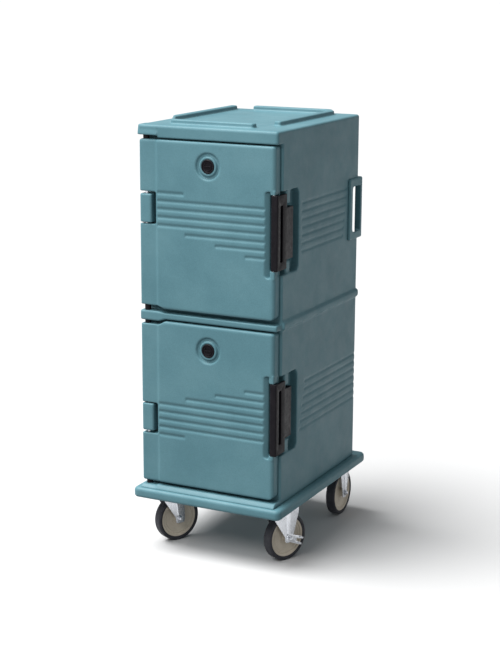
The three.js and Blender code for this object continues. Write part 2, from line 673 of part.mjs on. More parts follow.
function addWheel(name, parent, wheelY, nutStart) {
  const wheel = new THREE.Group();
  wheel.position.set(0, wheelY, AXLE_Z);
  parent.add(wheel);
  place(`${name}_tyre`, tyre(), rubber, wheel);
  place(`${name}_wheel_core`, wheelCore(), core, wheel);
  place(`${name}_axle_bolt`, axleBolt(nutStart), zinc, wheel);
  return wheel;
}

function addSwivelCaster(name, x, turn, legFront, braked) {
  const fixed = new THREE.Group();
  fixed.position.set(x, CASTER.frontY, 0);
  cart.add(fixed);
  place(`${name}_top_plate`, swivelPlate(), zinc, fixed);
  place(`${name}_swivel_bearing`, bearingRing(), zinc, fixed);
  place(`${name}_kingpin`, kingpin(), zinc, fixed);
  const swivel = new THREE.Group();
  swivel.rotation.z = radians(turn);
  fixed.add(swivel);
  place(`${name}_fork`, swivelFork(legFront), zinc, swivel);
  const wheel = addWheel(name, swivel, WHEEL.trail, LEG.outer + GAP + (braked ? BRAKE.thickness + GAP : 0));
  if (braked) {
    const pedal = new THREE.Group();
    pedal.rotation.x = -radians(BRAKE.drop);
    wheel.add(pedal);
    place(`${name}_brake_lever`, brakeLever(), zinc, pedal);
  }
}

function addRigidCaster(name, x) {
  const fixed = new THREE.Group();
  fixed.position.set(x, CASTER.rearY, 0);
  cart.add(fixed);
  place(`${name}_rigid_fork`, rigidFork(), zinc, fixed);
  addWheel(name, fixed, 0, LEG.outer + GAP);
}

addSwivelCaster('front_left', -CASTER.x, SWIVEL_TURN.left, SWIVEL_FORK.frontLeft, false);
addSwivelCaster('front_right', CASTER.x, SWIVEL_TURN.right, SWIVEL_FORK.frontRight, true);
addRigidCaster('rear_left', -CASTER.x);
addRigidCaster('rear_right', CASTER.x);

export default cart;
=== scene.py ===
"""The looks of an insulated two-compartment food pan cart, built round its CAD frame.

Shapes are written in millimetres in the cart's own frame: +Z up, doors facing -Y, origin on the floor
under the middle of the bumper base. Moulded plastic parts are joined from plain solids, remeshed and
smoothed, which gives them the soft edges of rotational moulding. Metal and nylon parts keep crisp edges,
most of them with a small bevel.
"""

import json
import math

import bmesh
import bpy
from mathutils import Matrix, Vector


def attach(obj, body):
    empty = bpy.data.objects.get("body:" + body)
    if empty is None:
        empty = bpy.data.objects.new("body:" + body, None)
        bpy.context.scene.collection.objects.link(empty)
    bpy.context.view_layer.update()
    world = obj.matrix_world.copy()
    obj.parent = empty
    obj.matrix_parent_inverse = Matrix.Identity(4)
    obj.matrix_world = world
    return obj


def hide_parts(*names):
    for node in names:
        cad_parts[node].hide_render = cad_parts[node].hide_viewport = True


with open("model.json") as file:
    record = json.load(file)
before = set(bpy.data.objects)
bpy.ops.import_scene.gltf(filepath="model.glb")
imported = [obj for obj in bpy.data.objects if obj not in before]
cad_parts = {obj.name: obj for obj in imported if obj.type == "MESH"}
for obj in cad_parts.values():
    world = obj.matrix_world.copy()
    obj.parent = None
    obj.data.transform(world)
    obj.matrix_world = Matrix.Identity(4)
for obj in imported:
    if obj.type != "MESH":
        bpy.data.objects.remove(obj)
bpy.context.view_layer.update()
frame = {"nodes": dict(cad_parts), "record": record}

# ---------------------------------------------------------------- driving dimensions, mm
MM = 0.001
WIDTH = 521
DEPTH = 689
HEIGHT = 1380
BODY_HALF = 236.3
BODY_FRONT = -286
BODY_REAR = 293
BODY_BOTTOM = 207
BODY_TOP = 1366
LEDGE_FRONT = -322
LEDGE_LEFT = -237.5
CAP_BOTTOM = 1327
EAR_BOTTOM = 1334
EAR_RIGHT = -172
MIRROR = 775.5  # the lower hinge, latch and ribs mirror the upper ones about this height
COMPARTMENT_HALF = 166
COMPARTMENT_REAR = 245
COMPARTMENT_HEIGHT = 468
DOOR_HALF = 229
DOOR_LEFT = 234.5  # the hinge edge stands further out than the latch edge
DOOR_FRONT = -325
DOOR_REAR = -288
PLUG_REAR = -262
PLUG_HALF = 157
RIB_PITCH = 25
RIB_TOP_LINE = 1160
RIB_HALF_WIDTH = 8.5
SIDE_RIB_DEPTH = 3.4
SIDE_RIB_LINES = range(1, 8)
SIDE_RIB_STEP = 6
SIDE_RIB_FRONT = -150
SIDE_RIB_REAR = 204
SIDE_RIB_LOWER_FRONT = -154
DOOR_RIB_DEPTH = 3.7
DOOR_RIB_STARTS = (-172, -172, -172, -172, -172, -76, 28, 130)
DOOR_RIB_END = 197
DOOR_RIB_TOP_END = -78  # the top line stops short
POCKET_SPAN = (932, 1186)  # heights of the latch pocket in the upper half's own levels
POCKET_FLOOR = 208
RECESS_SPAN = (927, 1188)
VENT_X = 4
PIN_X = 221.5
PIN_Y = -316
WHEEL_RADIUS = 76.2
CASTER_X = 197
CASTER_FRONT = -248
CASTER_REAR = 263
CASTER_TRAIL = 45
LEG_INNER = 20
LEG_OUTER = 23.5
LEG_EYE = 17
CROWN_TOP = 172
PLATE_TOP = 190.2
PLATE_HOLES = [(x, y) for x in (-37, 37) for y in (-45, 45)]
SWIVEL_TURNS = {"front_left": -27.7, "front_right": -23.1}
LEG_BACK = -22
LEG_FRONTS = {"front_left": 59, "front_right": 84}
LEG_CHANNELS = {"front_left": (41, 17), "front_right": (42, 8)}  # pressed channel: middle, half width
BRAKE_DROP = 22  # degrees the pedal points below level
BRAKE_REACH = 54


class Half:
    """One compartment with its door: its heights, and the mirroring of its fittings."""

    def __init__(self, name, floor, door, vent, mirrored):
        self.name = name
        self.floor = floor
        self.ceiling = floor + COMPARTMENT_HEIGHT
        self.door = door
        self.vent = vent
        self.mirrored = mirrored

    def level(self, z):
        return 2 * MIRROR - z if self.mirrored else z

    def span(self, z0, z1):
        return tuple(sorted((self.level(z0), self.level(z1))))


UPPER = Half("upper", 832, (797, 1322), 1250, False)
LOWER = Half("lower", 262, (230, 758), 681, True)
HALVES = (UPPER, LOWER)


# ---------------------------------------------------------------- outlines
def arc(centre, radius, start, end, segments=8):
    """Points on an arc, angles in degrees."""
    points = []
    for k in range(segments + 1):
        angle = math.radians(start + (end - start) * k / segments)
        points.append((centre[0] + radius * math.cos(angle), centre[1] + radius * math.sin(angle)))
    return points


def rounded(corners, segments=6):
    """A closed outline through (u, v, radius) corners, each radius drawn as an arc."""
    points = []
    for index, (u, v, radius) in enumerate(corners):
        here = Vector((u, v))
        if radius <= 0:
            points.append((u, v))
            continue
        before = (Vector(corners[index - 1][:2]) - here).normalized()
        after = (Vector(corners[(index + 1) % len(corners)][:2]) - here).normalized()
        half = before.angle(after) / 2
        centre = here + (before + after).normalized() * radius / math.sin(half)
        first = here + before * radius / math.tan(half) - centre
        last = here + after * radius / math.tan(half) - centre
        start = math.atan2(first.y, first.x)
        turn = (math.atan2(last.y, last.x) - start + math.pi) % (2 * math.pi) - math.pi
        for k in range(segments + 1):
            angle = start + turn * k / segments
            points.append((centre.x + radius * math.cos(angle), centre.y + radius * math.sin(angle)))
    return points


def rectangle(u0, u1, v0, v1, radius=0):
    """Outline of a rectangle. A radius may be one number, or four from the low corner anticlockwise."""
    radii = radius if isinstance(radius, (tuple, list)) else (radius,) * 4
    corners = ((u0, v0), (u1, v0), (u1, v1), (u0, v1))
    return rounded([(u, v, r) for (u, v), r in zip(corners, radii)])


def circle(centre, radius, segments=48):
    return arc(centre, radius, 0, 360, segments)[:-1]


def inset(outline, distance):
    """The outline moved inwards by a distance, corner by corner."""
    points = [Vector(p) for p in outline]
    area = sum(a.x * b.y - a.y * b.x for a, b in zip(points, points[1:] + points[:1]))
    side = 1 if area > 0 else -1
    moved = []
    for index, here in enumerate(points):
        before = (here - points[index - 1]).normalized()
        after = (points[(index + 1) % len(points)] - here).normalized()
        inward = Vector((-(before + after).y, (before + after).x)).normalized() * side
        reach = max(0.3, inward.dot(Vector((-before.y, before.x)) * side))
        moved.append(tuple(here + inward * distance / reach))
    return moved


# ---------------------------------------------------------------- solids
def add_object(name, mesh_data):
    mesh = bpy.data.meshes.new(name)
    mesh_data.to_mesh(mesh)
    mesh_data.free()
    thing = bpy.data.objects.new(name, mesh)
    bpy.context.scene.collection.objects.link(thing)
    return thing


AXIS_ORDER = {
    "x": lambda u, v, w: (w, u, v),
    "y": lambda u, v, w: (u, w, v),
    "z": lambda u, v, w: (u, v, w),
}


def rounding(outline, radius, steps):
    """(distance in from the end, outline) pairs of a rounded end edge, from its shoulder out to the end."""
    rings = []
    for k in range(steps + 1):
        angle = math.pi / 2 * k / steps
        rings.append((radius * (1 - math.sin(angle)), inset(outline, radius * (1 - math.cos(angle)))))
    return rings


def solid(outline, axis, low, high, round_low=0, round_high=0, steps=4):
    """An outline swept along an axis, its two end edges rounded over if asked. The outline's plane is
    (y, z) for axis x, (x, z) for axis y and (x, y) for axis z."""
    rings = [(low, outline)]
    if round_low:
        rings = [(low + depth, ring) for depth, ring in reversed(rounding(outline, round_low, steps))]
    if round_high:
        rings += [(high - depth, ring) for depth, ring in rounding(outline, round_high, steps)]
    else:
        rings.append((high, outline))
    place = AXIS_ORDER[axis]
    data = bmesh.new()
    loops = [[data.verts.new(Vector(place(u, v, w)) * MM) for u, v in points] for w, points in rings]
    count = len(outline)
    data.faces.new(reversed(loops[0]))
    data.faces.new(loops[-1])
    for lower, upper in zip(loops, loops[1:]):
        for k in range(count):
            data.faces.new((lower[k], lower[(k + 1) % count], upper[(k + 1) % count], upper[k]))
    bmesh.ops.recalc_face_normals(data, faces=data.faces)
    return add_object("solid", data)


def block(x0, x1, y0, y1, z0, z1, radius=0, edge=0):
    return solid(rectangle(x0, x1, y0, y1, radius), "z", z0, z1, edge, edge)


def turned(profile, axis, centre, segments=64):
    """A closed (radius, place along the axis) profile turned about an axis through centre (u, v)."""
    place = AXIS_ORDER[axis]
    data = bmesh.new()
    loops = []
    for k in range(segments):
        angle = 2 * math.pi * k / segments
        ring = []
        for radius, along in profile:
            u = centre[0] + radius * math.cos(angle)
            v = centre[1] + radius * math.sin(angle)
            ring.append(data.verts.new(Vector(place(u, v, along)) * MM))
        loops.append(ring)
    count = len(profile)
    for k in range(segments):
        here = loops[k]
        there = loops[(k + 1) % segments]
        for j in range(count):
            data.faces.new((here[j], there[j], there[(j + 1) % count], here[(j + 1) % count]))
    bmesh.ops.remove_doubles(data, verts=data.verts, dist=1e-6)
    bmesh.ops.recalc_face_normals(data, faces=data.faces)
    return add_object("turned", data)


def bake_modifiers(thing):
    graph = bpy.context.evaluated_depsgraph_get()
    mesh = bpy.data.meshes.new_from_object(thing.evaluated_get(graph))
    thing.modifiers.clear()
    thing.data = mesh
    return thing


def combine(base, operation, tools):
    for tool in tools:
        modifier = base.modifiers.new("combine", "BOOLEAN")
        modifier.operation = operation
        modifier.solver = "MANIFOLD"
        modifier.object = tool
    bake_modifiers(base)
    for tool in tools:
        bpy.data.objects.remove(tool)
    return base


def join(base, *tools):
    return combine(base, "UNION", tools)


def cut(base, *tools):
    return combine(base, "DIFFERENCE", tools)


def common(base, *tools):
    return combine(base, "INTERSECT", tools)


def mirror_x(thing):
    thing.data.transform(Matrix.Diagonal((-1, 1, 1, 1)))
    thing.data.flip_normals()
    return thing


def turn_x(thing, degrees, pivot):
    """Turns a solid about a line along X through pivot (y, z)."""
    centre = Matrix.Translation(Vector((0, pivot[0], pivot[1])) * MM)
    thing.data.transform(centre @ Matrix.Rotation(math.radians(degrees), 4, "X") @ centre.inverted())
    return thing


def mould(thing, voxel, passes, keep):
    """Soft edges all over: a fine remesh, smoothed, then thinned to the share of faces kept."""
    modifier = thing.modifiers.new("remesh", "REMESH")
    modifier.mode = "VOXEL"
    modifier.voxel_size = voxel * MM
    modifier = thing.modifiers.new("smooth", "SMOOTH")
    modifier.factor = 0.5
    modifier.iterations = passes
    modifier = thing.modifiers.new("thin", "DECIMATE")
    modifier.ratio = keep
    bake_modifiers(thing)
    thing.data.shade_smooth()
    return thing


def bevel(thing, width, segments=2, angle=35):
    modifier = thing.modifiers.new("bevel", "BEVEL")
    modifier.width = width * MM
    modifier.segments = segments
    modifier.limit_method = "ANGLE"
    modifier.angle_limit = math.radians(angle)
    modifier.use_clamp_overlap = True
    bake_modifiers(thing)
    thing.data.shade_smooth()
    thing.data.set_sharp_from_angle(angle=math.radians(angle))
    return thing


def smooth(thing, angle=35):
    thing.data.shade_smooth()
    thing.data.set_sharp_from_angle(angle=math.radians(angle))
    return thing


def dress(thing, name, body, material, slot, *replaced):
    """Names a finished piece, gives it its material and its body, and hides the CAD nodes it stands for."""
    thing.name = name
    thing.data.name = name
    thing.data.materials.clear()
    thing.data.materials.append(material)
    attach(thing, body)
    if replaced:
        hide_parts(*replaced)
    return thing


# ---------------------------------------------------------------- materials
class Shader:
    """A Principled material with a few procedural layers."""

    def __init__(self, name, metallic=0.0, specular=0.5):
        self.material = bpy.data.materials.new(name)
        self.material.use_nodes = True
        self.nodes = self.material.node_tree.nodes
        self.links = self.material.node_tree.links
        self.surface = self.nodes["Principled BSDF"]
        self.surface.inputs["Metallic"].default_value = metallic
        self.surface.inputs["Specular IOR Level"].default_value = specular
        self.place = self.nodes.new("ShaderNodeTexCoord").outputs["Object"]

    def noise(self, scale, detail=3.0, roughness=0.55, stretch=None):
        place = self.place
        if stretch:
            mapping = self.nodes.new("ShaderNodeMapping")
            mapping.inputs["Scale"].default_value = stretch
            self.links.new(place, mapping.inputs["Vector"])
            place = mapping.outputs["Vector"]
        node = self.nodes.new("ShaderNodeTexNoise")
        node.inputs["Scale"].default_value = scale
        node.inputs["Detail"].default_value = detail
        node.inputs["Roughness"].default_value = roughness
        self.links.new(place, node.inputs["Vector"])
        return node.outputs["Fac"]

    def levels(self, value, low, high, to_low, to_high):
        node = self.nodes.new("ShaderNodeMapRange")
        node.inputs["From Min"].default_value = low
        node.inputs["From Max"].default_value = high
        node.inputs["To Min"].default_value = to_low
        node.inputs["To Max"].default_value = to_high
        self.links.new(value, node.inputs["Value"])
        return node.outputs["Result"]

    def ramp(self, value, stops):
        node = self.nodes.new("ShaderNodeValToRGB")
        ramp = node.color_ramp
        ramp.elements[0].position, ramp.elements[0].color = stops[0][0], (*stops[0][1], 1)
        ramp.elements[1].position, ramp.elements[1].color = stops[-1][0], (*stops[-1][1], 1)
        for position, color in stops[1:-1]:
            ramp.elements.new(position).color = (*color, 1)
        self.links.new(value, node.inputs["Fac"])
        return node.outputs["Color"]

    def blend(self, factor, first, second, mode="MIX"):
        node = self.nodes.new("ShaderNodeMix")
        node.data_type = "RGBA"
        node.blend_type = mode
        for name, kind, value in (("Factor", "VALUE", factor), ("A", "RGBA", first), ("B", "RGBA", second)):
            target = next(s for s in node.inputs if s.name == name and s.type == kind)
            if isinstance(value, (int, float)):
                target.default_value = value
            elif isinstance(value, tuple):
                target.default_value = (*value, 1)
            else:
                self.links.new(value, target)
        return next(s for s in node.outputs if s.type == "RGBA")

    def edges(self, radius):
        """0 on flats and towards 1 on outer and inner edges, within a radius in mm."""
        soft = self.nodes.new("ShaderNodeBevel")
        soft.samples = 4
        soft.inputs["Radius"].default_value = radius * MM
        hard = self.nodes.new("ShaderNodeNewGeometry")
        dot = self.nodes.new("ShaderNodeVectorMath")
        dot.operation = "DOT_PRODUCT"
        self.links.new(soft.outputs["Normal"], dot.inputs[0])
        self.links.new(hard.outputs["Normal"], dot.inputs[1])
        return self.levels(dot.outputs["Value"], 0.995, 0.9, 0, 1)

    def bump(self, *layers):
        """Layers are (height, distance in mm)."""
        normal = None
        for height, distance in layers:
            node = self.nodes.new("ShaderNodeBump")
            node.inputs["Strength"].default_value = 1
            node.inputs["Distance"].default_value = distance * MM
            self.links.new(height, node.inputs["Height"])
            if normal:
                self.links.new(normal, node.inputs["Normal"])
            normal = node.outputs["Normal"]
        self.links.new(normal, self.surface.inputs["Normal"])

    def finish(self, color, roughness):
        for socket, value in (("Base Color", color), ("Roughness", roughness)):
            if isinstance(value, tuple):
                self.surface.inputs[socket].default_value = (*value, 1)
            elif isinstance(value, float):
                self.surface.inputs[socket].default_value = value
            else:
                self.links.new(value, self.surface.inputs[socket])
        return self.material


def polyethylene():
    """Rotomoulded slate blue polyethylene: faint clouding, orange peel, and paler rubbed edges."""
    shader = Shader("polyethylene", specular=0.2)
    base = (0.088, 0.192, 0.224)
    pale = (0.098, 0.206, 0.238)
    deep = (0.079, 0.177, 0.208)
    cloud = shader.ramp(shader.noise(7, 4), [(0.35, deep), (0.5, base), (0.65, pale)])
    speck = shader.levels(shader.noise(420, 2), 0.35, 0.65, 0.94, 1.06)
    flecked = shader.blend(1.0, cloud, speck, "MULTIPLY")
    rubbed = shader.levels(shader.noise(38, 5, 0.7), 0.48, 0.68, 0, 0.35)
    worn = shader.nodes.new("ShaderNodeMath")
    worn.operation = "MULTIPLY"
    shader.links.new(shader.edges(2.5), worn.inputs[0])
    shader.links.new(rubbed, worn.inputs[1])
    color = shader.blend(worn.outputs[0], flecked, (0.20, 0.32, 0.35))
    roughness = shader.levels(shader.noise(24, 5, 0.65), 0.3, 0.7, 0.38, 0.52)
    shader.bump((shader.noise(9, 1), 0.5), (shader.noise(330, 2), 0.035))
    return shader.finish(color, roughness)


def nylon():
    """Black glass-filled nylon with a fine grain."""
    shader = Shader("black_nylon", specular=0.1)
    color = shader.ramp(shader.noise(60, 4), [(0.35, (0.0045, 0.004, 0.006)), (0.65, (0.008, 0.007, 0.009))])
    edge = shader.blend(shader.edges(1.2), color, (0.016, 0.014, 0.018))
    roughness = shader.levels(shader.noise(90, 4), 0.3, 0.7, 0.38, 0.54)
    shader.bump((shader.noise(900, 2), 0.02))
    return shader.finish(edge, roughness)


def zinc():
    """Bright zinc-plated pressed steel with faint clouding and drawn scratches."""
    shader = Shader("zinc_plate", metallic=1.0)
    color = shader.ramp(shader.noise(45, 5, 0.65), [(0.3, (0.68, 0.70, 0.74)), (0.7, (0.76, 0.78, 0.82))])
    roughness = shader.levels(shader.noise(70, 5, 0.7), 0.3, 0.7, 0.2, 0.3)
    shader.bump((shader.noise(500, 3, stretch=(1, 1, 0.1)), 0.01))
    return shader.finish(color, roughness)


def tyre_rubber():
    """Dark grey rubber with faint dusty clouding."""
    shader = Shader("tyre_rubber", specular=0.35)
    stops = [(0.35, (0.016, 0.017, 0.023)), (0.7, (0.030, 0.031, 0.038))]
    color = shader.ramp(shader.noise(55, 5, 0.7), stops)
    roughness = shader.levels(shader.noise(80, 4), 0.3, 0.7, 0.5, 0.68)
    shader.bump((shader.noise(700, 3), 0.03), (shader.noise(30, 2), 0.12))
    return shader.finish(color, roughness)


def wheel_plastic():
    """Moulded taupe polyolefin wheel centre."""
    shader = Shader("wheel_plastic", specular=0.45)
    color = shader.ramp(shader.noise(28, 4), [(0.35, (0.47, 0.415, 0.33)), (0.65, (0.56, 0.5, 0.405))])
    roughness = shader.levels(shader.noise(60, 4), 0.3, 0.7, 0.36, 0.5)
    shader.bump((shader.noise(600, 2), 0.02))
    return shader.finish(color, roughness)


def silicone():
    shader = Shader("gasket_silicone", specular=0.4)
    color = shader.ramp(shader.noise(50, 3), [(0.35, (0.17, 0.18, 0.185)), (0.65, (0.22, 0.23, 0.235))])
    shader.bump((shader.noise(500, 2), 0.03))
    return shader.finish(color, 0.6)


def foam():
    shader = Shader("insulation_foam", specular=0.2)
    color = shader.ramp(shader.noise(80, 6, 0.8), [(0.3, (0.62, 0.47, 0.22)), (0.7, (0.78, 0.64, 0.36))])
    shader.bump((shader.noise(600, 4), 0.4))
    return shader.finish(color, 0.9)


POLYETHYLENE = polyethylene()
NYLON = nylon()
ZINC = zinc()
TYRE = tyre_rubber()
WHEEL = wheel_plastic()
SILICONE = silicone()
FOAM = foam()

SLOT_MATERIALS = {
    "cabinet_polyethylene": POLYETHYLENE,
    "black_nylon": NYLON,
    "zinc_steel": ZINC,
    "tyre_rubber": TYRE,
    "wheel_nylon": WHEEL,
    "gasket_silicone": SILICONE,
    "insulation_foam": FOAM,
}


def dress_cad_nodes():
    """Every CAD node gets its slot's material, whether it stays in view or not."""
    slots = {part["node"]: part["material_slot"] for part in frame["record"]["subparts"]}
    for name, node in frame["nodes"].items():
        node.data.materials.clear()
        node.data.materials.append(SLOT_MATERIALS[slots[name]])


# ---------------------------------------------------------------- cabinet
def groove(axis, face, outward, z, start, end, depth):
    """A cutter for one soft V-shaped groove that runs level along a face."""
    points = [
        (face + outward, z - RIB_HALF_WIDTH),
        (face + outward, z + RIB_HALF_WIDTH),
        (face - outward * depth, z),
    ]
    return solid(points, axis, start, end)


def side_grooves():
    cutters = []
    for side in (-1, 1):
        for line in SIDE_RIB_LINES:
            step = SIDE_RIB_STEP * (line - 1)
            height = RIB_TOP_LINE - line * RIB_PITCH
            face = side * BODY_HALF
            runs = (
                (UPPER, SIDE_RIB_FRONT, SIDE_RIB_REAR - step),
                (LOWER, SIDE_RIB_LOWER_FRONT + step, BODY_REAR + 2),
            )
            for half, start, end in runs:
                cutters.append(groove("y", face, side, half.level(height), start, end, SIDE_RIB_DEPTH))
    return cutters


def stacking_ribs():
    foot = BODY_TOP - 20
    front_left = rounded([
        (-150, -272, 8), (128, -272, 6), (131, -246, 6), (-150, -246, 4), (-186, -176, 10), (-186, 244, 6),
        (-212, 250, 6), (-212, -148, 12),
    ])
    rear_right = rounded([
        (172, -174, 6), (172, 230, 12), (144, 275, 12), (-135, 275, 6), (-131, 248, 6), (130, 248, 6),
        (148, 218, 6), (148, -168, 6),
    ])
    return [solid(shape, "z", foot, HEIGHT, 0, 4) for shape in (front_left, rear_right)]


def bottom_ledge(x0, x1, behind, top):
    """A length of the ledge below the lower door, sloping out to the bumper."""
    toe = LEDGE_FRONT - 13
    profile = [(toe, BODY_BOTTOM, 0), (behind, BODY_BOTTOM, 0), (behind, top, 0), (LEDGE_FRONT, top, 4)]
    return solid(rounded(profile), "x", x0, x1)


# the shallow sunk panel in the middle of the cap, between the stacking ribs
CENTRE_PANEL = rounded([(-172, -232, 20), (140, -232, 20), (140, 235, 20), (-172, 235, 20)])


def cabinet_outer():
    body = solid(rectangle(-BODY_HALF, BODY_HALF, BODY_FRONT, BODY_REAR, (5, 5, 10, 10)), "z",
                 BODY_BOTTOM, CAP_BOTTOM + 13)
    behind = BODY_FRONT + 12
    hinge_relief = block(-240, -203, BODY_FRONT - 3, BODY_FRONT + 2.5, BODY_BOTTOM - 1, EAR_BOTTOM)
    body = cut(body, hinge_relief)
    lid = solid(rectangle(LEDGE_LEFT, BODY_HALF, LEDGE_FRONT, BODY_REAR, (5, 8, 10, 10)), "z",
                CAP_BOTTOM, BODY_TOP, 3, 8)
    lid = cut(lid, solid(CENTRE_PANEL, "z", BODY_TOP - 2.2, BODY_TOP + 5))
    lid = cut(lid, block(-240, EAR_RIGHT, -330, BODY_FRONT, CAP_BOTTOM - 1, EAR_BOTTOM),
              block(EAR_RIGHT, EAR_RIGHT + 3, LEDGE_FRONT - 3, LEDGE_FRONT + 3, CAP_BOTTOM - 1, BODY_TOP - 9))
    ear = solid(rounded([
        (LEDGE_FRONT - 4, EAR_BOTTOM, 3), (behind, EAR_BOTTOM, 0), (behind, BODY_TOP, 0),
        (LEDGE_FRONT + 3, BODY_TOP, 4),
    ]), "x", LEDGE_LEFT - 2.5, EAR_RIGHT, 3, 1)
    ledge = solid(rounded([
        (LEDGE_LEFT, 756, 3), (-172, 756, 6), (-148, 764, 8), (BODY_HALF, 764, 3), (BODY_HALF, 783, 3),
        (-148, 783, 8), (-172, 787, 6), (LEDGE_LEFT, 787, 3),
    ]), "y", LEDGE_FRONT, behind, 4, 0)
    band_half = BODY_HALF + 8.5
    band = solid(rectangle(-band_half, band_half, BODY_FRONT + 1, 303, (4, 4, 22, 22)), "z", 762, 788, 8, 8)
    bottom = bottom_ledge(-182, BODY_HALF, behind, 221)
    boss = bottom_ledge(LEDGE_LEFT, -180, behind, 218)
    knuckles = []
    for half in HALVES:
        z0, z1 = half.span(1065, 1154)
        knuckles.append(solid(rectangle(-234, -192, DOOR_FRONT, behind, (8, 6, 0, 0)), "z", z0, z1, 3, 3))
    return join(body, lid, ear, ledge, band, bottom, boss, *knuckles, *stacking_ribs())


def pan_rails(half):
    count = 6
    pitch = 70
    rails = []
    for index in range(count):
        z = half.floor + 48 + index * pitch
        for side in (-1, 1):
            ends = sorted((side * (COMPARTMENT_HALF + 4), side * (COMPARTMENT_HALF - 13)))
            rails.append(block(*ends, -250, COMPARTMENT_REAR - 6, z, z + 9))
    return rails


def latch_pocket(half):
    z0, z1 = half.span(*POCKET_SPAN)
    return solid(rounded([
        (-292, z0, 2), (-183, z0, 3), (-171, z0 + 14, 6), (-171, z1 - 14, 6), (-183, z1, 3), (-292, z1, 2),
    ]), "x", POCKET_FLOOR, 260)


def keeper(half):
    """The bar the latch hooks behind, and the lugs it grows out of at each end of the pocket."""
    z0, z1 = half.span(*POCKET_SPAN)
    bar = solid(rectangle(204, 226, -250, -229, 2.5), "z", z0 - 1, z1 + 1)
    lugs = [block(204, 231, -252, -220, *half.span(*ends), 5) for ends in ((930, 970), (1144, 1188))]
    return join(bar, *lugs)


def hand_pocket(side):
    ends = sorted((side * 191, side * 260))
    return solid(rectangle(*ends, 971, 1151, 6), "y", 226, 320)


def cabinet():
    shell = cabinet_outer()
    compartments = [
        solid(rectangle(-COMPARTMENT_HALF, COMPARTMENT_HALF, half.floor, half.ceiling, 14), "y",
              -400, COMPARTMENT_REAR, 0, 14)
        for half in HALVES
    ]
    cutters = compartments + [latch_pocket(half) for half in HALVES] + [hand_pocket(side) for side in (-1, 1)]
    cut(shell, *side_grooves(), *cutters)
    added = [keeper(half) for half in HALVES]
    for half in HALVES:
        added += pan_rails(half)
    join(shell, *added)
    mould(shell, 2.8, 3, 0.1)
    return dress(shell, "cabinet_moulding", "cabinet", POLYETHYLENE, "cabinet_polyethylene", "cabinet_shell")


# ---------------------------------------------------------------- doors
def leaf(half):
    """The door's outer leaf: a stepped hinge edge, rounded front edges, corners roundest at its foot."""
    z0, z1 = half.door
    plan = rounded([
        (-DOOR_LEFT, DOOR_REAR, 8), (-DOOR_LEFT, -323.5, 6), (-178, -321.5, 2), (-170, DOOR_FRONT - 0.4, 2),
        (DOOR_HALF, DOOR_FRONT, 12), (DOOR_HALF, DOOR_REAR, 3),
    ])
    panel = solid(plan, "z", z0, z1, 7, 7)
    face = solid(rectangle(-DOOR_LEFT - 1, DOOR_HALF, z0, z1, (10, 20, 9, 6)), "y", -340, -270)
    return common(panel, face)


def boss_relief(half):
    if half.mirrored:
        points = [(-240, 745, 0), (-172, 745, 8), (-148, 758, 8), (-148, 772, 0), (-240, 772, 0)]
    else:
        points = [(-240, 788, 0), (-148, 788, 0), (-148, 797, 8), (-172, 806, 8), (-240, 806, 0)]
    return solid(rounded(points), "y", DOOR_FRONT - 2, DOOR_REAR + 2)


def latch_recess(half):
    z0, z1 = half.span(*RECESS_SPAN)
    left = 193
    floor = 208
    plan = [
        (left - 1, DOOR_FRONT - 2), (240, DOOR_FRONT - 2), (240, -295), (floor, -295),
        (floor, DOOR_FRONT + 13),
    ]
    tool = solid(plan, "z", z0, z1)
    return common(tool, solid(rectangle(left - 2, 260, z0, z1, (18, 0, 0, 18)), "y", -340, -280))


def pin_lugs(half):
    """The moulded ends of the latch recess that carry the pin."""
    lugs = []
    for low, high in ((924, 948.5), (1178.5, 1191)):
        lugs.append(block(212, DOOR_HALF, -324, -298, *half.span(low, high), 4))
    return lugs


def vent_dish(half):
    """The sunk ring round the raised rim of the vent, and the vent's seat inside the rim."""
    face = DOOR_FRONT
    ring = turned([(42, face - 3), (42, face + 0.4), (38, face + 7), (31, face + 7), (28.5, face - 3)],
                  "y", (VENT_X, half.vent))
    seat = solid(circle((VENT_X, half.vent), 22.3), "y", face - 3, face + 5.2)
    return [ring, seat]


def door_grooves(half):
    tools = []
    for line, start in enumerate(DOOR_RIB_STARTS):
        end = DOOR_RIB_END if line else DOOR_RIB_TOP_END
        height = half.level(RIB_TOP_LINE - line * RIB_PITCH)
        tools.append(groove("x", DOOR_FRONT, -1, height, start, end, DOOR_RIB_DEPTH))
    return tools


def door(half):
    shell = leaf(half)
    plug = solid(rectangle(-PLUG_HALF, PLUG_HALF, half.floor + 8, half.ceiling - 8, 12), "y",
                 DOOR_REAR - 4, PLUG_REAR, 0, 10)
    join(shell, plug)
    notch0, notch1 = half.span(1061, 1162)
    notch = solid(rectangle(-260, -178, notch0, notch1, (0, 5, 5, 0)), "y", DOOR_FRONT - 3, DOOR_REAR + 3)
    cut(shell, boss_relief(half), notch, latch_recess(half), *vent_dish(half), *door_grooves(half),
        solid(circle((VENT_X, half.vent), 11.2), "y", -340, -250))
    join(shell, *pin_lugs(half))
    mould(shell, 2.2, 3, 0.2)
    name = half.name
    return dress(shell, f"{name}_door_moulding", f"{name}_door", POLYETHYLENE, "cabinet_polyethylene",
                 f"{name}_door_shell")


def gasket(half):
    """A seal with a rounded lip round the back of the door."""
    inner = 168
    outer = 176
    front = DOOR_REAR - 4
    rear = BODY_FRONT - 0.4
    extra = inner - COMPARTMENT_HALF
    lip = outer - COMPARTMENT_HALF
    ring = solid(rectangle(-outer, outer, half.floor - lip, half.ceiling + lip, 10), "y", front, rear, 0, 1.4)
    hole = solid(rectangle(-inner, inner, half.floor - extra, half.ceiling + extra, 5), "y",
                 front - 1, rear + 1)
    cut(ring, hole)
    smooth(ring)
    return dress(ring, f"{half.name}_door_seal", f"{half.name}_door", SILICONE, "gasket_silicone",
                 f"{half.name}_door_gasket")


